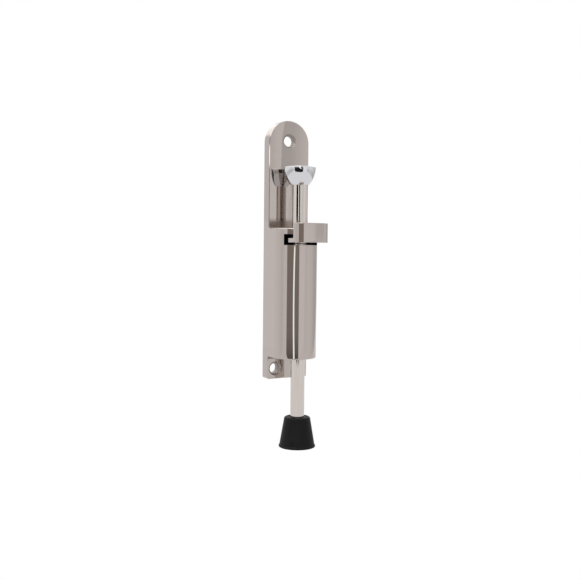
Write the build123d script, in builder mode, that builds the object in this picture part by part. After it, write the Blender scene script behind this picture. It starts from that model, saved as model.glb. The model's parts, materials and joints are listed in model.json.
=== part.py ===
"""Foot-operated door holder: a cast housing, a sprung plunger with a rubber foot, and a release lever.

Millimetres. The origin is the middle of the flat back face that is screwed to the door. +Z is up,
+X is to the right seen from the front, and the front of the object looks along -Y.
"""
import os

from build123d import *

os.makedirs("parts", exist_ok=True)

# ---- back plate ------------------------------------------------------------
PLATE_WIDTH = 32.0
PLATE_HEIGHT = 186.4
PLATE_THICK = 8.0
PLATE_EDGE_R = 0.8
PLATE_CORNER_R = 1.5
HALF_WIDTH = PLATE_WIDTH / 2
ARCH_Z = PLATE_HEIGHT / 2 - HALF_WIDTH      # centre of the round top

# ---- screw holes in the plate ----------------------------------------------
SCREW_HOLE_R = 3.8
COUNTERSINK_R = 5.1
UPPER_HOLE_Z = 78.5
LOWER_HOLE_Z = -85.8
LOWER_HOLE_X = 9.7

# ---- barrel in front of the plate ------------------------------------------
BARREL_Y = -18.0                            # centre of the round front
BARREL_BOTTOM = -76.9
ROOF_TOP = 15.6
ROOF_UNDER = 11.2
COVE_R = 1.0

# ---- heights where the one casting is divided into three nodes ---------------
UPPER_SPLIT_Z = 20.5
LOWER_SPLIT_Z = -78.5

# ---- plunger rod and its bores ---------------------------------------------
ROD_Y = -24.5
ROD_R = 5.0
RUNNING_FIT = 0.05
ROOF_BORE_R = 5.3
CHAMBER_R = 7.4
GUIDE_SEAT_R = 8.0
GUIDE_BOTTOM = -12.0

# ---- notch that the release lever works in ---------------------------------
NOTCH_FLOOR = 3.8
NOTCH_HALF_WIDTH = 13.2
NOTCH_BACK_Y = -15.5
HINGE_Y = -12.0
HINGE_Z = 6.95
BEAD_R = 2.2
SOCKET_HALF_WIDTH = 9.6

# ---- coring in the back of the casting -------------------------------------
CORE_HALF_WIDTH = 10.0
CORE_DEPTH = 12.0
CORE_TOP = -8.0
CORE_BOTTOM = -68.0
CORE_CELLS = 3
CORE_CORNER_R = 2.5
CORE_DRAFT = 3.0                            # degrees
RIB_THICK = 3.0
RECESS_DEPTH = 3.6
RECESS_RIM = 3.5
RECESS_BOTTOM = 24.0

# ---- release lever ---------------------------------------------------------
LEVER_UNDER = 5.5
LEVER_THICK = 2.9
LEVER_TOP = LEVER_UNDER + LEVER_THICK
TONGUE_HALF_WIDTH = 9.3
SHOULDER_Y = ROD_Y - 8.0                    # where the tongue widens
WIDE_HALF_WIDTH = 12.7
HEAD_HALF_WIDTH = 13.0
HEAD_BACK_Y = ROD_Y - 16.0
HEAD_FRONT_Y = ROD_Y - 22.7
HEAD_TOP = 19.0
HEAD_CORNER_R = 6.4
HEAD_EDGE_R = 0.5
BEND_R = 1.5
GRIP_RING_OUTER_R = 7.0
GRIP_RING_BORE_R = 5.25

# ---- tread cap -------------------------------------------------------------
CAP_TOP = 58.7
CAP_BOTTOM = 46.0
CAP_R = 11.4
CAP_FOOT_R = 6.5
CAP_WAIST = (10.05, 52.0)                   # radius and height halfway down the curved side
CAP_EDGE_R = 0.6
SPIGOT_R = 3.5
SPIGOT_LENGTH = 9.0
SPIGOT_CLEARANCE = 0.3

# ---- rubber foot -----------------------------------------------------------
FOOT_TOP = -118.6
FOOT_BOTTOM = -140.4
FOOT_TOP_R = 9.3
FOOT_CONE_R = 12.4
FOOT_LIP_R = 13.1
FOOT_LIP_HEIGHT = 2.2
FOOT_LIP_EDGE_R = 0.7
FOOT_RIM_R = 1.4
FOOT_DISH_R = 7.4
FOOT_DISH_DEPTH = 0.3
ROD_BOTTOM = -131.0
FOOT_WEB = 3.0
FOOT_RECESS_R = 6.5
FOOT_SCREW_R = 2.5
FOOT_SCREW_HEAD_R = 4.6
FOOT_SCREW_HEAD_HEIGHT = 2.8
FOOT_SCREW_HOLE_DEPTH = 13.0
FOOT_SCREW_GRIP = 11.0
FOOT_SCREW_CROSS = 5.4
FOOT_SCREW_CROSS_WIDTH = 1.0
FOOT_SCREW_CROSS_DEPTH = 1.8
FOOT_WASHER_THICK = 1.0

# ---- clip, washers, bushes and springs in the chamber -----------------------
CLIP_TOP = GUIDE_BOTTOM - 0.2
CLIP_THICK = 1.0
CLIP_OUTER_R = 6.8
CLIP_GROOVE_R = 4.1
CLIP_MOUTH = 6.4
THRUST_TOP = CLIP_TOP - CLIP_THICK - 0.05
THRUST_THICK = 1.2
LOWER_BUSH_TOP = -70.4
LOWER_BUSH_BOTTOM = -75.0
CIRCLIP_THICK = 1.0
CIRCLIP_OUTER_R = 7.9
CIRCLIP_INNER_R = 6.4
CIRCLIP_GAP = 5.0
SEAT_THICK = 1.0
SEAT_TOP = LOWER_BUSH_TOP + SEAT_THICK
RETURN_WIRE_R = 0.55
RETURN_MEAN_R = 6.2
RETURN_TURNS = 17
LEVER_WIRE_R = 0.4
LEVER_MEAN_R = 5.8
LEVER_TURNS = 6
GUIDE_TOP = NOTCH_FLOOR - 0.3
SPRING_POCKET_FLOOR = -6.0
SPRING_POCKET_R = 6.7
SPRING_PLAY = 0.05


def rod_plane(height):
    """Horizontal plane at a height, centred on the plunger's axis."""
    return Plane((0, ROD_Y, height))


def profile_plane():
    """Upright plane through the plunger's axis: x is the radius, y is the height."""
    return Plane(origin=(0, ROD_Y, 0), x_dir=(1, 0, 0), z_dir=(0, -1, 0))


def finish(builder, name):
    """Label a finished piece and write it to its own file."""
    builder.part.label = name
    export_step(builder.part, f"parts/{name}.step")


def near(axis, value):
    """Keyword values that pick what lies at one place along an axis."""
    return {"axis": axis, "minimum": value - 0.01, "maximum": value + 0.01}


# ---- casting: plate and barrel in one piece ----------------------------------
with BuildPart() as casting:
    with BuildSketch(Plane.XZ):
        with BuildLine():
            Polyline(
                (-HALF_WIDTH, ARCH_Z),
                (-HALF_WIDTH, -PLATE_HEIGHT / 2),
                (HALF_WIDTH, -PLATE_HEIGHT / 2),
                (HALF_WIDTH, ARCH_Z),
            )
            ThreePointArc((-HALF_WIDTH, ARCH_Z), (0, PLATE_HEIGHT / 2), (HALF_WIDTH, ARCH_Z))
        make_face()
    extrude(amount=PLATE_THICK)
    with BuildSketch(Plane.XY.offset(BARREL_BOTTOM)):
        with BuildLine():
            Polyline((-HALF_WIDTH, BARREL_Y), (-HALF_WIDTH, -1), (HALF_WIDTH, -1), (HALF_WIDTH, BARREL_Y))
            ThreePointArc((-HALF_WIDTH, BARREL_Y), (0, BARREL_Y - HALF_WIDTH), (HALF_WIDTH, BARREL_Y))
        make_face()
    extrude(amount=ROOF_TOP - BARREL_BOTTOM)
    foot_corners = casting.edges().filter_by(Axis.Y).group_by(Axis.Z)[0]
    fillet(foot_corners, PLATE_CORNER_R)

    # coves where the roof and the barrel's underside meet the plate
    for height in [ROOF_TOP, BARREL_BOTTOM]:
        level_edges = casting.edges().filter_by(Axis.X).filter_by_position(**near(Axis.Z, height))
        fillet(level_edges.filter_by_position(**near(Axis.Y, -PLATE_THICK)), COVE_R)

    # one soft edge follows the tangent edges round the upper plate, down the cove and round the
    # roof, and another goes round the barrel's underside and the foot of the plate
    front_edges = casting.edges().filter_by_position(**near(Axis.Y, -PLATE_THICK))
    fillet(front_edges.filter_by(GeomType.CIRCLE).sort_by(Axis.Z)[-1], PLATE_EDGE_R)
    front_edges = casting.edges().filter_by_position(**near(Axis.Y, -PLATE_THICK))
    fillet(front_edges.filter_by(Axis.X).sort_by(Axis.Z)[0], PLATE_EDGE_R)

    # notch for the lever, and the round-backed socket its tongue hinges in
    with BuildSketch(Plane.XY.offset(NOTCH_FLOOR)):
        with Locations((0, (NOTCH_BACK_Y + BARREL_Y - HALF_WIDTH - 2) / 2)):
            Rectangle(2 * NOTCH_HALF_WIDTH, NOTCH_BACK_Y - (BARREL_Y - HALF_WIDTH - 2))
    extrude(amount=ROOF_UNDER - NOTCH_FLOOR, mode=Mode.SUBTRACT)
    with BuildSketch(Plane.YZ.offset(-SOCKET_HALF_WIDTH)):
        with Locations((HINGE_Y, HINGE_Z)):
            Circle(BEAD_R + RUNNING_FIT)
        with Locations(((HINGE_Y + NOTCH_BACK_Y - 1) / 2, HINGE_Z)):
            Rectangle(HINGE_Y - NOTCH_BACK_Y + 1, 2 * (BEAD_R + RUNNING_FIT))
    extrude(amount=2 * SOCKET_HALF_WIDTH, mode=Mode.SUBTRACT)

    # bores on the plunger's axis
    with BuildSketch(rod_plane(BARREL_BOTTOM)):
        Circle(CHAMBER_R)
    extrude(amount=GUIDE_BOTTOM - BARREL_BOTTOM, mode=Mode.SUBTRACT)
    with BuildSketch(rod_plane(GUIDE_BOTTOM)):
        Circle(GUIDE_SEAT_R)
    extrude(amount=NOTCH_FLOOR - GUIDE_BOTTOM, mode=Mode.SUBTRACT)
    with BuildSketch(rod_plane(ROOF_UNDER)):
        Circle(ROOF_BORE_R)
    extrude(amount=ROOF_TOP - ROOF_UNDER, mode=Mode.SUBTRACT)
    with BuildSketch(rod_plane(LOWER_BUSH_BOTTOM - CIRCLIP_THICK)):
        Circle(CIRCLIP_OUTER_R)
    extrude(amount=CIRCLIP_THICK, mode=Mode.SUBTRACT)

    # countersunk screw holes
    hole_spots = [(0, UPPER_HOLE_Z), (-LOWER_HOLE_X, LOWER_HOLE_Z), (LOWER_HOLE_X, LOWER_HOLE_Z)]
    with Locations(Plane.XZ.offset(PLATE_THICK)):
        with Locations(*hole_spots):
            CounterSinkHole(SCREW_HOLE_R, COUNTERSINK_R, depth=PLATE_THICK, counter_sink_angle=90)

    # coring in the back, with ribs left between the cells
    cell_height = (CORE_TOP - CORE_BOTTOM - (CORE_CELLS - 1) * RIB_THICK) / CORE_CELLS
    with BuildSketch(Plane.XZ):
        for index in range(CORE_CELLS):
            centre = CORE_TOP - cell_height / 2 - index * (cell_height + RIB_THICK)
            with Locations((0, centre)):
                RectangleRounded(2 * CORE_HALF_WIDTH, cell_height, CORE_CORNER_R)
    extrude(amount=CORE_DEPTH, mode=Mode.SUBTRACT, taper=CORE_DRAFT)

    # shallow recess behind the upper plate, which leaves a rim all round
    recess_r = HALF_WIDTH - RECESS_RIM
    with BuildSketch(Plane.XZ):
        with Locations((0, (ARCH_Z + RECESS_BOTTOM) / 2)):
            Rectangle(2 * recess_r, ARCH_Z - RECESS_BOTTOM)
        with Locations((0, ARCH_Z)):
            Circle(recess_r)
    extrude(amount=RECESS_DEPTH, mode=Mode.SUBTRACT)

# the casting's three nodes meet face to face
with BuildPart() as upper_plate:
    add(casting.part)
    split(bisect_by=Plane.XY.offset(UPPER_SPLIT_Z), keep=Keep.TOP)
finish(upper_plate, "upper_plate")

with BuildPart() as barrel_body:
    add(casting.part)
    split(bisect_by=Plane.XY.offset(UPPER_SPLIT_Z), keep=Keep.BOTTOM)
    split(bisect_by=Plane.XY.offset(LOWER_SPLIT_Z), keep=Keep.TOP)
finish(barrel_body, "barrel_body")

with BuildPart() as lower_plate:
    add(casting.part)
    split(bisect_by=Plane.XY.offset(LOWER_SPLIT_Z), keep=Keep.BOTTOM)
finish(lower_plate, "lower_plate")

# ---- guide bush: nylon, with a pocket for the lever's spring -----------------
with BuildPart() as guide_bush:
    with BuildSketch(rod_plane(GUIDE_BOTTOM)):
        Circle(GUIDE_SEAT_R)
        Circle(ROD_R + RUNNING_FIT, mode=Mode.SUBTRACT)
    extrude(amount=GUIDE_TOP - GUIDE_BOTTOM)
    with BuildSketch(rod_plane(SPRING_POCKET_FLOOR)):
        Circle(SPRING_POCKET_R)
    extrude(amount=GUIDE_TOP - SPRING_POCKET_FLOOR, mode=Mode.SUBTRACT)
    chamfer(guide_bush.edges().group_by(Axis.Z)[-1], 0.3)
finish(guide_bush, "guide_bush")

# ---- lower bush, its retaining ring and the spring's seat washer -------------
with BuildPart() as lower_bush:
    with BuildSketch(rod_plane(LOWER_BUSH_BOTTOM)):
        Circle(CHAMBER_R)
        Circle(ROD_R + RUNNING_FIT, mode=Mode.SUBTRACT)
    extrude(amount=LOWER_BUSH_TOP - LOWER_BUSH_BOTTOM)
    chamfer(lower_bush.edges().group_by(Axis.Z)[0].sort_by(SortBy.RADIUS)[0], 0.4)
finish(lower_bush, "lower_bush")

with BuildPart() as bush_circlip:
    with BuildSketch(rod_plane(LOWER_BUSH_BOTTOM - CIRCLIP_THICK)):
        Circle(CIRCLIP_OUTER_R)
        Circle(CIRCLIP_INNER_R, mode=Mode.SUBTRACT)
        with Locations((0, -CIRCLIP_OUTER_R)):
            Rectangle(CIRCLIP_GAP, CIRCLIP_OUTER_R, mode=Mode.SUBTRACT)
    extrude(amount=CIRCLIP_THICK)
finish(bush_circlip, "bush_circlip")

with BuildPart() as spring_seat_washer:
    with BuildSketch(rod_plane(LOWER_BUSH_TOP)):
        Circle(CHAMBER_R - 0.2)
        Circle(ROD_R + 0.3, mode=Mode.SUBTRACT)
    extrude(amount=SEAT_THICK)
finish(spring_seat_washer, "spring_seat_washer")

# ---- plunger rod, with a spigot for the cap and a groove for its clip --------
with BuildPart() as plunger_rod:
    with BuildSketch(rod_plane(ROD_BOTTOM)):
        Circle(ROD_R)
    extrude(amount=CAP_BOTTOM - ROD_BOTTOM)
    chamfer(plunger_rod.edges().group_by(Axis.Z)[0], 0.6)
    with BuildSketch(rod_plane(CAP_BOTTOM)):
        Circle(SPIGOT_R)
    extrude(amount=SPIGOT_LENGTH)
    chamfer(plunger_rod.edges().group_by(Axis.Z)[-1], 0.5)
    with BuildSketch(rod_plane(CLIP_TOP - CLIP_THICK)):
        Circle(ROD_R + 1)
        Circle(CLIP_GROOVE_R, mode=Mode.SUBTRACT)
    extrude(amount=CLIP_THICK, mode=Mode.SUBTRACT)
    with BuildSketch(rod_plane(ROD_BOTTOM)):
        Circle(FOOT_SCREW_R)
    extrude(amount=FOOT_SCREW_HOLE_DEPTH, mode=Mode.SUBTRACT)
finish(plunger_rod, "plunger_rod")

with BuildPart() as rod_clip:
    with BuildSketch(rod_plane(CLIP_TOP - CLIP_THICK)):
        Circle(CLIP_OUTER_R)
        Circle(CLIP_GROOVE_R, mode=Mode.SUBTRACT)
        with Locations((0, CLIP_OUTER_R)):
            Rectangle(CLIP_MOUTH, 2 * CLIP_OUTER_R, mode=Mode.SUBTRACT)
    extrude(amount=CLIP_THICK)
finish(rod_clip, "rod_clip")

with BuildPart() as thrust_washer:
    with BuildSketch(rod_plane(THRUST_TOP - THRUST_THICK)):
        Circle(CHAMBER_R - 0.3)
        Circle(ROD_R + RUNNING_FIT, mode=Mode.SUBTRACT)
    extrude(amount=THRUST_THICK)
finish(thrust_washer, "thrust_washer")

# ---- tread cap: flat top, sides curving in to the rod ------------------------
with BuildPart() as foot_cap:
    with BuildSketch(profile_plane()):
        with BuildLine():
            Polyline((CAP_FOOT_R, CAP_BOTTOM), (0, CAP_BOTTOM), (0, CAP_TOP), (CAP_R - CAP_EDGE_R, CAP_TOP))
            RadiusArc((CAP_R - CAP_EDGE_R, CAP_TOP), (CAP_R, CAP_TOP - CAP_EDGE_R), CAP_EDGE_R)
            ThreePointArc((CAP_R, CAP_TOP - CAP_EDGE_R), CAP_WAIST, (CAP_FOOT_R, CAP_BOTTOM))
        make_face()
    revolve(axis=Axis((0, ROD_Y, 0), (0, 0, 1)))
    with BuildSketch(rod_plane(CAP_BOTTOM)):
        Circle(SPIGOT_R)
    extrude(amount=SPIGOT_LENGTH + SPIGOT_CLEARANCE, mode=Mode.SUBTRACT)
finish(foot_cap, "foot_cap")

# ---- rubber foot with its screw and washer -----------------------------------
FOOT_WEB_UNDER = ROD_BOTTOM - FOOT_WEB
with BuildPart() as rubber_foot:
    cone_top = (FOOT_TOP_R + 0.1, FOOT_TOP - FOOT_RIM_R)
    cone_bottom = (FOOT_CONE_R, FOOT_BOTTOM + FOOT_LIP_HEIGHT + 0.6)
    lip_top = (FOOT_LIP_R, FOOT_BOTTOM + FOOT_LIP_HEIGHT - 1.0)
    lip_bottom = (FOOT_LIP_R - FOOT_LIP_EDGE_R, FOOT_BOTTOM)
    rim = (FOOT_TOP_R - FOOT_RIM_R, FOOT_TOP)
    with BuildSketch(profile_plane()):
        with BuildLine():
            Polyline(lip_bottom, (0, FOOT_BOTTOM), (0, FOOT_TOP), rim)
            ThreePointArc(rim, (FOOT_TOP_R - 0.35, FOOT_TOP - 0.45), cone_top)
            Line(cone_top, cone_bottom)
            ThreePointArc(cone_bottom, (FOOT_CONE_R + 0.22, FOOT_BOTTOM + FOOT_LIP_HEIGHT - 0.3), lip_top)
            ThreePointArc(lip_top, (FOOT_LIP_R - 0.1, FOOT_BOTTOM + 0.45), lip_bottom)
        make_face()
    revolve(axis=Axis((0, ROD_Y, 0), (0, 0, 1)))
    with BuildSketch(rod_plane(FOOT_TOP - FOOT_DISH_DEPTH)):
        Circle(FOOT_DISH_R)
    extrude(amount=FOOT_DISH_DEPTH, mode=Mode.SUBTRACT)
    with BuildSketch(rod_plane(ROD_BOTTOM)):
        Circle(ROD_R)
    extrude(amount=FOOT_TOP - ROD_BOTTOM, mode=Mode.SUBTRACT)
    with BuildSketch(rod_plane(FOOT_BOTTOM)):
        Circle(FOOT_RECESS_R)
    extrude(amount=FOOT_WEB_UNDER - FOOT_BOTTOM, mode=Mode.SUBTRACT)
    with BuildSketch(rod_plane(FOOT_WEB_UNDER)):
        Circle(FOOT_SCREW_R)
    extrude(amount=FOOT_WEB, mode=Mode.SUBTRACT)
finish(rubber_foot, "rubber_foot")

with BuildPart() as foot_washer:
    with BuildSketch(rod_plane(FOOT_WEB_UNDER - FOOT_WASHER_THICK)):
        Circle(FOOT_RECESS_R - 0.4)
        Circle(FOOT_SCREW_R + 0.2, mode=Mode.SUBTRACT)
    extrude(amount=FOOT_WASHER_THICK)
finish(foot_washer, "foot_washer")

SCREW_HEAD_TOP = FOOT_WEB_UNDER - FOOT_WASHER_THICK
with BuildPart() as foot_screw:
    with BuildSketch(rod_plane(SCREW_HEAD_TOP - FOOT_SCREW_HEAD_HEIGHT)):
        Circle(FOOT_SCREW_HEAD_R)
    extrude(amount=FOOT_SCREW_HEAD_HEIGHT)
    fillet(foot_screw.edges().group_by(Axis.Z)[0], 1.0)
    with BuildSketch(rod_plane(SCREW_HEAD_TOP)):
        Circle(FOOT_SCREW_R)
    extrude(amount=FOOT_WEB + FOOT_WASHER_THICK + FOOT_SCREW_GRIP)
    with BuildSketch(rod_plane(SCREW_HEAD_TOP - FOOT_SCREW_HEAD_HEIGHT)):
        Rectangle(FOOT_SCREW_CROSS, FOOT_SCREW_CROSS_WIDTH)
        Rectangle(FOOT_SCREW_CROSS_WIDTH, FOOT_SCREW_CROSS)
    extrude(amount=FOOT_SCREW_CROSS_DEPTH, mode=Mode.SUBTRACT)
finish(foot_screw, "foot_screw")

# ---- springs round the rod ----------------------------------------------------
with BuildPart() as return_spring:
    spring_foot = SEAT_TOP + RETURN_WIRE_R + SPRING_PLAY
    spring_height = THRUST_TOP - THRUST_THICK - RETURN_WIRE_R - SPRING_PLAY - spring_foot
    with BuildLine() as return_path:
        Helix(spring_height / RETURN_TURNS, spring_height, RETURN_MEAN_R, center=(0, ROD_Y, spring_foot))
    with BuildSketch(Plane(origin=return_path.line @ 0, z_dir=return_path.line % 0)):
        Circle(RETURN_WIRE_R)
    sweep(path=return_path.line, is_frenet=True)
finish(return_spring, "return_spring")

with BuildPart() as lever_spring:
    spring_foot = SPRING_POCKET_FLOOR + LEVER_WIRE_R + SPRING_PLAY
    spring_height = LEVER_UNDER - LEVER_WIRE_R - SPRING_PLAY - spring_foot
    with BuildLine() as lever_path:
        Helix(spring_height / LEVER_TURNS, spring_height, LEVER_MEAN_R, center=(0, ROD_Y, spring_foot))
    with BuildSketch(Plane(origin=lever_path.line @ 0, z_dir=lever_path.line % 0)):
        Circle(LEVER_WIRE_R)
    sweep(path=lever_path.line, is_frenet=True)
finish(lever_spring, "lever_spring")

# ---- release lever: hinged tongue, wide plate and upturned head -----------------
with BuildPart() as release_lever:
    with BuildSketch(Plane.XY.offset(LEVER_UNDER)):
        with Locations((0, (HINGE_Y + SHOULDER_Y) / 2)):
            Rectangle(2 * TONGUE_HALF_WIDTH, HINGE_Y - SHOULDER_Y)
        with Locations((0, (SHOULDER_Y + HEAD_BACK_Y - 1) / 2)):
            Rectangle(2 * WIDE_HALF_WIDTH, SHOULDER_Y - HEAD_BACK_Y + 1)
    extrude(amount=LEVER_THICK)
    with BuildSketch(Plane.XY.offset(LEVER_UNDER)):
        with Locations((0, (HEAD_BACK_Y + HEAD_FRONT_Y) / 2)):
            Rectangle(2 * HEAD_HALF_WIDTH, HEAD_BACK_Y - HEAD_FRONT_Y)
    extrude(amount=HEAD_TOP - LEVER_UNDER)
    corners = release_lever.edges().filter_by(Axis.Z).group_by(Axis.Y)[0]
    fillet(corners, HEAD_CORNER_R)
    inner_bend = release_lever.edges().filter_by(Axis.X).filter_by_position(**near(Axis.Y, HEAD_BACK_Y))
    fillet(inner_bend.filter_by_position(**near(Axis.Z, LEVER_TOP)), BEND_R)
    # the front edge's rounding follows its tangent neighbours round both corners
    top_edges = release_lever.faces().sort_by(Axis.Z)[-1].edges().filter_by(Axis.X).sort_by(Axis.Y)
    fillet([top_edges[0], top_edges[-1]], HEAD_EDGE_R)
    with BuildSketch(Plane.YZ.offset(-TONGUE_HALF_WIDTH)):
        with Locations((HINGE_Y, HINGE_Z)):
            Circle(BEAD_R)
    extrude(amount=2 * TONGUE_HALF_WIDTH)
    with BuildSketch(rod_plane(LEVER_UNDER)):
        Circle(GRIP_RING_OUTER_R)
    extrude(amount=LEVER_THICK, mode=Mode.SUBTRACT)
finish(release_lever, "release_lever")

with BuildPart() as grip_ring:
    with BuildSketch(rod_plane(LEVER_UNDER)):
        Circle(GRIP_RING_OUTER_R)
        Circle(GRIP_RING_BORE_R, mode=Mode.SUBTRACT)
    extrude(amount=LEVER_THICK)
finish(grip_ring, "grip_ring")
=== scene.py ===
"""Looks for the foot-operated door holder: satin nickel casting, bright rod, chrome cap and rubber foot."""
import json
import math

import bpy
from mathutils import Matrix, Vector


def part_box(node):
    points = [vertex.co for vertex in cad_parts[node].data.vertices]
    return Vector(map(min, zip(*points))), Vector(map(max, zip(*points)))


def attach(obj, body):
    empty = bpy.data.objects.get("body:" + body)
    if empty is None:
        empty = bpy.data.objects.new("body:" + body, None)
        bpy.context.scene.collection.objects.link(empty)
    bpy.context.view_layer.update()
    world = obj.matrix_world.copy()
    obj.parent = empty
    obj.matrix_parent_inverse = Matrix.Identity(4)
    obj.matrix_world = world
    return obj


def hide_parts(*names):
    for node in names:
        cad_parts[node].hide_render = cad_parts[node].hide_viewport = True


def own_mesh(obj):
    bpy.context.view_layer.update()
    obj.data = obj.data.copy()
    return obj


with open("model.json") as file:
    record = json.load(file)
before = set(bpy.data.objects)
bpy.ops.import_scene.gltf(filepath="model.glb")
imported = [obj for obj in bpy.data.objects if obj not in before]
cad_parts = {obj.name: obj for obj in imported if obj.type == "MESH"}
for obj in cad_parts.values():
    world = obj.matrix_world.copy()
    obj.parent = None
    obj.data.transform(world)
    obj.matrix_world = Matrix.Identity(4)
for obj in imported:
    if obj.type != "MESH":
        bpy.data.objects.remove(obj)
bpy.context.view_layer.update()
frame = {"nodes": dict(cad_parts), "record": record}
NODES = frame["nodes"]

# ---- camera: where it stands, in metres and degrees ---------------------------
CAMERA_AZIMUTH = -27.42          # 0 looks straight at the front, negative stands to the left
CAMERA_PITCH = 2.76              # looks down by this much
CAMERA_ROLL = 0.6
CAMERA_DISTANCE = 0.6182
CAMERA_AIM_RIGHT = -0.00605      # the aim point, from the rod's axis
CAMERA_AIM_UP = -0.0282
CAMERA_LENS = 54.0
SENSOR_WIDTH = 36.0
CLIP_START = 0.01

# ---- places on the holder, in metres --------------------------------------------
ROD_LOW, ROD_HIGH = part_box("plunger_rod")
ROD_AXIS = Vector(((ROD_LOW.x + ROD_HIGH.x) / 2, (ROD_LOW.y + ROD_HIGH.y) / 2, 0))
FLOOR_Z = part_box("rubber_foot")[0].z

PLATE_THICK = 0.008
ROOF_TOP = 0.0158                # just over the barrel's roof, where the clear plate starts
BARREL_BOTTOM = -0.0775
FORWARD = -0.99                  # the Y of a normal that points straight out of the front

# the plate's polished front is not quite flat
CROWN_RADIUS = 0.11
CROWN_DROOP = 1.7                # degrees
CROWN_DEPTH = 0.0004             # how far in front of the plate's face the crown still counts

# the plate's corners over and under the barrel, where shade is painted in and the finish is a little rougher
CORNER_BASE = 0.0153
CORNER_TOP = 0.0200
CORNER_FADE = 0.0035
CORNER_SHADE_AND_HAZE = 0.7
CORNER_DEPTH = 0.0015
CORNER_HALF_WIDTH = 0.0158
UNDER_LOW = -0.0784
UNDER_FADE = 0.0002

# the notch the lever works in: (low, high, fade) of its walls and of its floor
NOTCH_HALF_WIDTH = 0.0133
NOTCH_WALLS_Z = (0.0037, 0.0113, 0.0001)
NOTCH_WALLS_Y = (-0.03, -0.01, 0.004)
NOTCH_FLOOR_Z = (0.00376, 0.0052, 0.00003)
NOTCH_FLOOR_Y = (-0.0385, -0.01, 0.0002)

SCREW_HOLES = [(0, 0.0785), (-0.0097, -0.0858), (0.0097, -0.0858)]
COUNTERSINK_R = 0.0052


# ---- node helpers ---------------------------------------------------------------
class Graph:
    """A material's or world's node tree, with short calls for adding and joining nodes."""

    def __init__(self, tree):
        self.tree = tree
        tree.nodes.clear()

    def add(self, kind, links=None, **settings):
        node = self.tree.nodes.new(kind)
        for key, value in settings.items():
            setattr(node, key, value)
        for socket, value in (links or {}).items():
            self.plug(node, socket, value)
        return node

    def plug(self, node, socket, value):
        target = node.inputs[socket]
        if isinstance(value, bpy.types.NodeSocket):
            self.tree.links.new(value, target)
        else:
            target.default_value = value

    def math(self, operation, a, b=0.0):
        return self.add("ShaderNodeMath", {0: a, 1: b}, operation=operation).outputs[0]

    def times(self, *factors):
        product = factors[0]
        for factor in factors[1:]:
            product = self.math("MULTIPLY", product, factor)
        return product

    def most(self, *values):
        largest = values[0]
        for value in values[1:]:
            largest = self.math("MAXIMUM", largest, value)
        return largest

    def remap(self, value, low, high, to_low, to_high):
        span = {"Value": value, "From Min": low, "From Max": high, "To Min": to_low, "To Max": to_high}
        return self.add("ShaderNodeMapRange", span).outputs["Result"]

    def split(self, vector):
        return self.add("ShaderNodeSeparateXYZ", {"Vector": vector}).outputs

    def stretched_noise(self, stretch, detail=2.0):
        """Noise in the object's own metres, with one scale along each axis, in waves per metre."""
        place = self.add("ShaderNodeTexCoord").outputs["Object"]
        stretched = self.add("ShaderNodeMapping", {"Vector": place, "Scale": stretch}).outputs[0]
        noise = self.add("ShaderNodeTexNoise", {"Vector": stretched, "Scale": 1.0, "Detail": detail})
        return noise.outputs["Fac"]

    def mix(self, factor, first, second, blend="MIX"):
        node = self.add("ShaderNodeMix", {"Factor": factor}, data_type="RGBA", blend_type=blend)
        self.plug(node, 6, first)
        self.plug(node, 7, second)
        return node.outputs[2]

    def ramp(self, value, stops):
        node = self.add("ShaderNodeValToRGB", {"Fac": value})
        node.color_ramp.elements.remove(node.color_ramp.elements[0])
        for index, (place, level) in enumerate(stops):
            stop = node.color_ramp.elements[0] if index == 0 else node.color_ramp.elements.new(place)
            stop.position = place
            stop.color = (*level, 1.0) if isinstance(level, tuple) else (level, level, level, 1.0)
        return node.outputs["Color"]

    def profile(self, value, low, high, stops):
        """A ramp from low to high, with its stops given in the value's own units."""
        placed = [((place - low) / (high - low), level) for place, level in stops]
        return self.ramp(self.remap(value, low, high, 0, 1), placed)

    def bump(self, height, distance, strength, normal=None):
        links = {"Height": height, "Distance": distance, "Strength": strength}
        if normal is not None:
            links["Normal"] = normal
        return self.add("ShaderNodeBump", links).outputs["Normal"]


# ---- masks that pick out places on the casting --------------------------------------
def crowned_face(graph, spot, normal, facing):
    """Surface normal of the casting, rolled off a little from side to side on the plate's front."""
    front = graph.math("LESS_THAN", facing["Y"], FORWARD)
    plate = graph.math("GREATER_THAN", spot["Y"], -PLATE_THICK - CROWN_DEPTH)
    above = graph.math("GREATER_THAN", spot["Z"], ROOF_TOP)
    below = graph.math("LESS_THAN", spot["Z"], BARREL_BOTTOM)
    mask = graph.times(front, plate, graph.most(above, below))
    roll = graph.times(spot["X"], 1 / CROWN_RADIUS, mask)
    droop = graph.times(mask, -math.radians(CROWN_DROOP))
    lean = graph.add("ShaderNodeCombineXYZ", {"X": roll, "Z": droop}).outputs[0]
    total = graph.add("ShaderNodeVectorMath", {0: normal, 1: lean}, operation="ADD").outputs[0]
    return graph.add("ShaderNodeVectorMath", {0: total}, operation="NORMALIZE").outputs[0]


def within(graph, value, low, high, soft):
    """1 between two places along an axis, 0 outside, with soft ends."""
    above = graph.remap(value, low - soft, low, 0, 1)
    below = graph.remap(value, high, high + soft, 1, 0)
    return graph.times(above, below)


def shade_corner_mask(graph, spot):
    """1 in the plate's corners over and under the barrel, where shade is painted in and the finish is a
    little rougher.
    """
    front = graph.math("GREATER_THAN", spot["Y"], -PLATE_THICK - CORNER_DEPTH)
    inner = graph.math("LESS_THAN", graph.math("ABSOLUTE", spot["X"]), CORNER_HALF_WIDTH)
    over = within(graph, spot["Z"], CORNER_BASE, CORNER_TOP, CORNER_FADE)
    under = within(graph, spot["Z"], UNDER_LOW, BARREL_BOTTOM, UNDER_FADE)
    heights = graph.math("ADD", graph.times(over, CORNER_SHADE_AND_HAZE), under)
    return graph.times(heights, graph.times(front, inner))


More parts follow.
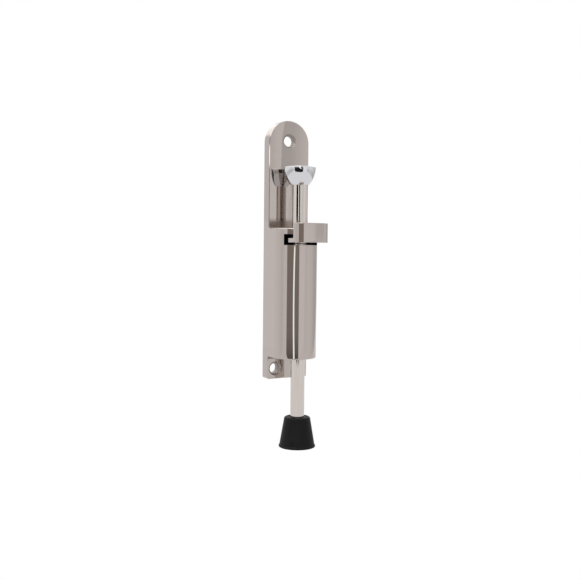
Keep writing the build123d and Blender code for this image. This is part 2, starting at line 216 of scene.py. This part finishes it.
def notch_mask(graph, spot):
    """1 inside the notch the lever works in, and on its floor out to the front, where shade is painted."""
    width = graph.math("LESS_THAN", graph.math("ABSOLUTE", spot["X"]), NOTCH_HALF_WIDTH)
    walls = graph.times(within(graph, spot["Z"], *NOTCH_WALLS_Z), within(graph, spot["Y"], *NOTCH_WALLS_Y))
    floor = graph.times(within(graph, spot["Z"], *NOTCH_FLOOR_Z), within(graph, spot["Y"], *NOTCH_FLOOR_Y))
    return graph.times(graph.most(walls, floor), width)


def countersink_mask(graph, spot, facing):
    """1 on the cones and bores of the three screw holes, which are made rougher and get a little painted
    shade.
    """
    mask = 0.0
    for x, z in SCREW_HOLES:
        across = graph.math("SUBTRACT", spot["X"], x)
        along = graph.math("SUBTRACT", spot["Z"], z)
        squares = graph.math("ADD", graph.times(across, across), graph.times(along, along))
        mask = graph.most(mask, graph.math("LESS_THAN", squares, COUNTERSINK_R ** 2))
    return graph.times(mask, graph.math("GREATER_THAN", facing["Y"], FORWARD))


# ---- materials --------------------------------------------------------------------
def new_material(name, metallic=0.0):
    material = bpy.data.materials.new(name)
    material.use_nodes = True
    graph = Graph(material.node_tree)
    shader = graph.add("ShaderNodeBsdfPrincipled", {"Metallic": metallic})
    graph.add("ShaderNodeOutputMaterial", {"Surface": shader.outputs[0]})
    return material, graph, shader


def satin_nickel():
    """Nickel plate with a fine brush across it, dulled in its corners, screw holes and notch, with shade
    painted into all three.
    """
    material, graph, shader = new_material("satin_nickel", metallic=0.97)
    spot = graph.split(graph.add("ShaderNodeTexCoord").outputs["Object"])
    normal = graph.add("ShaderNodeNewGeometry").outputs["Normal"]
    facing = graph.split(normal)
    brush = graph.stretched_noise((60, 60, 9000), detail=3)
    broad = graph.stretched_noise((25, 25, 60))
    corners = shade_corner_mask(graph, spot)
    cones = countersink_mask(graph, spot, facing)
    notch = notch_mask(graph, spot)

    tint = graph.profile(brush, 0.3, 0.7, [(0.3, (0.472, 0.417, 0.394)), (0.7, (0.496, 0.443, 0.418))])
    # painted shade: brown in the corners over and under the barrel, and a little in the screw holes' cones
    painted_shade_tint = graph.mix(graph.most(corners, graph.times(cones, 0.3)), tint, (0.24, 0.195, 0.16, 1))
    # painted shade: near black inside the notch the lever works in
    graph.plug(shader, "Base Color", graph.mix(notch, painted_shade_tint, (0.02, 0.016, 0.013, 1)))

    smooth = graph.remap(broad, 0.3, 0.7, 0.015, 0.03)
    dull = graph.most(graph.times(corners, 0.35), graph.times(cones, 0.6), graph.times(notch, 0.5))
    graph.plug(shader, "Roughness", graph.most(smooth, dull))

    face = crowned_face(graph, spot, normal, facing)
    graph.plug(shader, "Normal", graph.bump(brush, 0.000001, 0.1, face))
    return material


def bright_nickel():
    """The drawn rod: bright plate with faint marks along its length."""
    material, graph, shader = new_material("bright_nickel", metallic=1.0)
    marks = graph.stretched_noise((2500, 2500, 30), detail=3)
    tint = graph.ramp(marks, [(0.3, (0.6, 0.54, 0.502)), (0.7, (0.665, 0.605, 0.57))])
    graph.plug(shader, "Base Color", tint)
    graph.plug(shader, "Roughness", graph.remap(marks, 0.3, 0.7, 0.03, 0.07))
    graph.plug(shader, "Normal", graph.bump(marks, 0.000001, 0.1))
    return material


def chrome():
    """Polished chrome with a faint haze."""
    material, graph, shader = new_material("chrome", metallic=1.0)
    haze = graph.stretched_noise((140, 140, 140), detail=4)
    graph.plug(shader, "Base Color", (0.675, 0.675, 0.69, 1))
    graph.plug(shader, "Roughness", graph.remap(haze, 0.3, 0.7, 0.04, 0.1))
    return material


def black_rubber():
    """Matt moulded rubber with a fine grain."""
    material, graph, shader = new_material("black_rubber")
    grain = graph.stretched_noise((2200, 2200, 2200), detail=4)
    cloud = graph.stretched_noise((160, 160, 160), detail=3)
    tint = graph.ramp(cloud, [(0.3, (0.006, 0.0058, 0.0062)), (0.7, (0.009, 0.0086, 0.0092))])
    graph.plug(shader, "Base Color", tint)
    graph.plug(shader, "Specular IOR Level", 0.1)
    graph.plug(shader, "Roughness", graph.remap(cloud, 0.3, 0.7, 0.42, 0.58))
    graph.plug(shader, "Normal", graph.bump(grain, 0.00006, 0.4))
    return material


def black_nylon():
    """The bushes: black nylon as it comes out of the mould."""
    material, graph, shader = new_material("black_nylon")
    grain = graph.stretched_noise((900, 900, 900), detail=3)
    graph.plug(shader, "Base Color", (0.015, 0.015, 0.017, 1))
    graph.plug(shader, "Roughness", graph.remap(grain, 0.3, 0.7, 0.34, 0.5))
    graph.plug(shader, "Normal", graph.bump(grain, 0.00004, 0.3))
    return material


def steel(name, tone, rough):
    """Zinc-plated or drawn steel, for the pieces that are hidden in use."""
    material, graph, shader = new_material(name, metallic=1.0)
    mottle = graph.stretched_noise((300, 300, 300), detail=4)
    tint = graph.ramp(mottle, [(0.3, (tone * 0.85,) * 3), (0.7, (tone, tone, tone * 1.04))])
    graph.plug(shader, "Base Color", tint)
    graph.plug(shader, "Roughness", graph.remap(mottle, 0.3, 0.7, rough - 0.06, rough + 0.08))
    graph.plug(shader, "Normal", graph.bump(mottle, 0.00003, 0.3))
    return material


MATERIALS = {
    "nickel_satin": satin_nickel(),
    "nickel_bright": bright_nickel(),
    "chrome": chrome(),
    "rubber_black": black_rubber(),
    "nylon_black": black_nylon(),
    "steel": steel("zinc_plated_steel", 0.46, 0.3),
    "spring_steel": steel("spring_steel", 0.38, 0.25),
}
SLOT_OF = {entry["node"]: entry["material_slot"] for entry in frame["record"]["subparts"]}
for node_name, node in NODES.items():
    node.data.materials.clear()
    node.data.materials.append(MATERIALS[SLOT_OF[node_name]])


# ---- springs: wound again with closed ends ---------------------------------------------
COIL_STEPS = 36                  # stations in one turn
WIRE_SIDES = 10


def coil_rise(turn, turns, wire_r, pitch):
    """Height of the wire's centre after some turns: the first and the last turn lie closed."""
    closed = 2 * wire_r
    first = min(turn, 1) * closed
    open_turns = min(max(turn - 1, 0), turns - 2) * pitch
    last = max(turn - turns + 1, 0) * closed
    return first + open_turns + last


def closed_coil(node_name, wire_r, mean_r, turns):
    """A round-wire spring in the place of a CAD spring, with its first and last turns closed."""
    low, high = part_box(node_name)
    pitch = (high.z - low.z - 6 * wire_r) / (turns - 2)
    upright = Vector((0, 0, 1))
    stations = turns * COIL_STEPS + 1
    points = []
    for station in range(stations):
        turn = station / COIL_STEPS
        height = low.z + wire_r + coil_rise(turn, turns, wire_r, pitch)
        outward = Vector((math.cos(math.tau * turn), math.sin(math.tau * turn), 0))
        centre = ROD_AXIS + outward * mean_r + upright * height
        for side in range(WIRE_SIDES):
            angle = math.tau * side / WIRE_SIDES
            points.append(centre + wire_r * (math.cos(angle) * outward + math.sin(angle) * upright))
    start_cap = list(range(WIRE_SIDES))
    end_cap = [(stations - 1) * WIRE_SIDES + side for side in reversed(range(WIRE_SIDES))]
    faces = [start_cap, end_cap]
    for station in range(stations - 1):
        here = station * WIRE_SIDES
        for side in range(WIRE_SIDES):
            after = (side + 1) % WIRE_SIDES
            faces.append((here + side, here + WIRE_SIDES + side, here + WIRE_SIDES + after, here + after))
    mesh = bpy.data.meshes.new("closed_" + node_name)
    mesh.from_pydata(points, [], faces)
    mesh.shade_smooth()
    mesh.materials.append(MATERIALS["spring_steel"])
    coil = bpy.data.objects.new("closed_" + node_name, mesh)
    bpy.context.scene.collection.objects.link(coil)
    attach(coil, "base")
    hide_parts(node_name)
    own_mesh(coil)


closed_coil("return_spring", 0.00055, 0.0062, 17)
closed_coil("lever_spring", 0.0004, 0.0058, 6)


# ---- surroundings: what the metal reflects ------------------------------------------
# Bearings are degrees round the holder from the camera, positive to its right.
# Heights are degrees above the horizon. Levels are brightness.
DEGREES = 180 / math.pi
LAMP = 2.4
LEAN_FROM, LEAN_TO = 1.70, 1.77  # between these heights the dark opening and its strip step to the left

LOW_WALLS = [
    (-180, 0.88), (-140, 0.95), (-113, 0.95), (-97, 0.94), (-88, 0.92), (-76, 0.88), (-66, 0.81), (-60, 0.88),
    (-52, 0.93), (20, 0.97), (60, 0.97), (81, 0.93), (95, 0.9), (103, 0.86), (111, 0.8), (120, 0.7),
    (140, 0.62), (160, 0.66), (180, 0.88),
]
HIGH_WALLS = [
    (-180, 0.9), (-144, 0.9), (-108, 0.86), (-84, 1.0), (-60, 1.0), (10, 1.0), (28, 0.98), (36, 0.8),
    (44, 0.94), (56, 0.96), (98, 0.97), (127, 0.8), (150, 0.82), (180, 0.9),
]
SKIRTING = [
    (-180, 1.0), (-144, 0.72), (-50.4, 0.7), (-41.4, 0.95), (46.8, 1.0), (55.8, 0.76), (129.6, 0.82),
    (180, 1.0),
]
# the pale panel on the right: the bearing of its edge, in hundreds of degrees, by height
PANEL_EDGE = [(0, 0.545), (0.5, 0.5643), (1.7, 0.5643), (1.77, 0.473), (4, 0.478), (5, 0.502)]
PANEL_BAND = [(-0.014, 1.0), (0.016, 0.69), (9.01, 0.71), (22, 0.95)]
PANEL_DEPTH = [(0, 0.3), (0.9, 0.67), (1.7, 0.67), (1.77, 1.0), (2.6, 0.88), (4.5, 0.8)]
# inside the dark opening: where the strip is lit, and the brown haze low down
STRIP_LIT = [(-12, 0), (-10.4, 1), (0, 1), (0.4, 0.0), (1.7, 0.0), (1.78, 1)]
STRIP_TINT = (0.89, 1.0, 1.03, 1)
HAZE = [
    (-8, (0.01, 0.01, 0.01)), (-6.8, (0.2, 0.175, 0.16)), (-5.6, (0.28, 0.245, 0.22)),
    (1.68, (0.32, 0.28, 0.25)), (1.76, (0.008, 0.007, 0.006)),
]


def sky_angles(graph):
    """Bearing from the camera and height above the horizon of each direction, in degrees."""
    parts = graph.split(graph.add("ShaderNodeTexCoord").outputs["Generated"])
    bearing = graph.math("ARCTAN2", parts["X"], graph.times(parts["Y"], -1.0))
    degrees = graph.math("SUBTRACT", graph.times(bearing, DEGREES), CAMERA_AZIMUTH)
    turned = graph.add("ShaderNodeMath", {0: degrees, 1: 180.0, 2: -180.0}, operation="WRAP").outputs[0]
    height = graph.times(graph.math("ARCSINE", parts["Z"]), DEGREES)
    return turned, height


def walls(graph, turned, height, lean):
    """White walls with a few shades, a pale panel on the right, a brighter ceiling and a dim skirting."""
    low_walls = graph.profile(turned, -180, 180, LOW_WALLS)
    high_walls = graph.profile(turned, -180, 180, HIGH_WALLS)
    plain = graph.mix(lean, low_walls, high_walls)
    # the pale panel ends in a darker band
    edge = graph.profile(height, -1, 9, PANEL_EDGE)
    past = graph.math("SUBTRACT", turned, graph.times(edge, 100.0))
    band = graph.profile(past, -2, 28, PANEL_BAND)
    shaded = graph.mix(graph.profile(height, -1, 9, PANEL_DEPTH), plain, band, "MULTIPLY")
    # a bright ceiling over the left side and behind
    over_left = graph.times(graph.remap(height, 24, 30, 0, 1), graph.remap(turned, -62, -50, 1, 0))
    around_back = graph.remap(graph.math("ABSOLUTE", turned), 125, 128, 0, 1)
    behind = graph.times(around_back, graph.remap(height, 19, 23, 0, 1))
    topped = graph.mix(graph.most(over_left, behind), shaded, (1.6, 1.58, 1.56, 1))
    # low down the walls are dimmer
    skirting = graph.profile(turned, -180, 180, SKIRTING)
    return graph.mix(graph.remap(height, -9.5, -8, 1, 0), topped, skirting, "MULTIPLY")


def opening_mask(graph, turned, height, lean):
    """1 inside the dark opening round the camera, which ends in a softer edge on the right higher up."""
    left = graph.remap(lean, 0, 1, -38.5, -52)
    right = graph.remap(lean, 0, 1, 24, 17)
    right_fade = graph.remap(lean, 0, 1, 1.5, 16)
    past_left = graph.remap(graph.math("SUBTRACT", turned, left), -1, 1, 0, 1)
    before_right = graph.remap(graph.math("SUBTRACT", right, turned), -1.5, right_fade, 0, 1)
    return graph.times(past_left, before_right, graph.remap(height, 75, 82, 1, 0))


def opening(graph, turned, height, lean):
    """The dark opening: a brown haze low down, a bowed bright strip, a small window and the big lamp."""
    lift = graph.math("ABSOLUTE", graph.math("ADD", height, 3.3))
    bow = graph.times(graph.math("POWER", lift, 2.0), 0.24)
    low_middle = graph.times(graph.math("SUBTRACT", bow, 2.6), graph.remap(lean, 0, 1, 1, 0))
    middle = graph.math("ADD", low_middle, graph.remap(lean, 0, 1, 0, -15))
    offset = graph.math("ABSOLUTE", graph.math("SUBTRACT", turned, middle))
    lit = graph.profile(height, -12, 8, STRIP_LIT)
    strip = graph.times(graph.remap(offset, 3.0, 4.5, 1.8, 0.0), lit)
    cool = graph.mix(1.0, strip, STRIP_TINT, "MULTIPLY")
    backdrop = graph.mix(1.0, graph.profile(height, -12, 8, HAZE), cool, "LIGHTEN")
    # the window sits over the strip, and the lamp hangs above both
    window = graph.remap(graph.math("ABSOLUTE", graph.math("SUBTRACT", height, 6.0)), 0.5, 0.8, 1, 0)
    lamp = graph.most(window, graph.remap(height, 22.0, 25.0, 0, 1))
    return graph.mix(lamp, backdrop, (LAMP, LAMP, LAMP, 1))


def surroundings():
    """A white studio with a dark opening round the camera. The camera itself sees plain white."""
    world = bpy.data.worlds.new("studio")
    bpy.context.scene.world = world
    world.use_nodes = True
    graph = Graph(world.node_tree)
    turned, height = sky_angles(graph)
    lean = graph.remap(height, LEAN_FROM, LEAN_TO, 0, 1)
    room = walls(graph, turned, height, lean)
    inside = opening_mask(graph, turned, height, lean)
    light = graph.mix(inside, room, opening(graph, turned, height, lean))
    seen = graph.add("ShaderNodeLightPath").outputs["Is Camera Ray"]
    sky = graph.add("ShaderNodeBackground", {"Color": light}).outputs[0]
    white = graph.add("ShaderNodeBackground", {"Color": (1, 1, 1, 1)}).outputs[0]
    both = graph.add("ShaderNodeMixShader", {0: seen, 1: sky, 2: white})
    graph.add("ShaderNodeOutputWorld", {"Surface": both.outputs[0]})


surroundings()


# ---- white table: it ends a little way in front of the holder ------------------------
TABLE_FRONT = 0.44
TABLE_HALF_WIDTH = 0.52
TABLE_BACK = 1.5
TABLE_GLOW = 0.92


def table():
    """The pale floor under the foot, turned to face the camera."""
    turn = Matrix.Rotation(math.radians(CAMERA_AZIMUTH), 4, "Z")
    corners = [(-1, -TABLE_FRONT), (1, -TABLE_FRONT), (1, TABLE_BACK), (-1, TABLE_BACK)]
    foot = ROD_AXIS + Vector((0, 0, FLOOR_Z))
    spots = [foot + turn @ Vector((side * TABLE_HALF_WIDTH, depth, 0)) for side, depth in corners]
    mesh = bpy.data.meshes.new("table")
    mesh.from_pydata(spots, [], [(0, 1, 2, 3)])
    top = bpy.data.objects.new("table", mesh)
    top.visible_camera = False       # it lights the holder, and doesn't hide the foot when that is down
    bpy.context.scene.collection.objects.link(top)
    material = bpy.data.materials.new("white_table")
    material.use_nodes = True
    graph = Graph(material.node_tree)
    glow = graph.add("ShaderNodeEmission", {"Color": (1, 1, 1, 1), "Strength": TABLE_GLOW})
    graph.add("ShaderNodeOutputMaterial", {"Surface": glow.outputs[0]})
    mesh.materials.append(material)


table()


# ---- camera ---------------------------------------------------------------------------
def camera():
    azimuth, pitch, roll = (math.radians(a) for a in (CAMERA_AZIMUTH, CAMERA_PITCH, CAMERA_ROLL))
    ahead = math.cos(pitch)
    back = Vector((math.sin(azimuth) * ahead, -math.cos(azimuth) * ahead, math.sin(pitch)))
    level = (-back).cross(Vector((0, 0, 1))).normalized()
    upright = level.cross(-back)
    right = level * math.cos(roll) + upright * math.sin(roll)
    up = upright * math.cos(roll) - level * math.sin(roll)
    aim = ROD_AXIS + Vector((0, 0, CAMERA_AIM_UP)) + level * CAMERA_AIM_RIGHT
    data = bpy.data.cameras.new("camera")
    data.lens = CAMERA_LENS
    data.sensor_width = SENSOR_WIDTH
    data.clip_start = CLIP_START
    place = bpy.data.objects.new("camera", data)
    matrix = Matrix((right, up, back)).transposed().to_4x4()
    matrix.translation = aim + back * CAMERA_DISTANCE
    place.matrix_world = matrix
    bpy.context.scene.collection.objects.link(place)
    bpy.context.scene.camera = place


camera()
bpy.context.scene.view_settings.view_transform = "Standard"
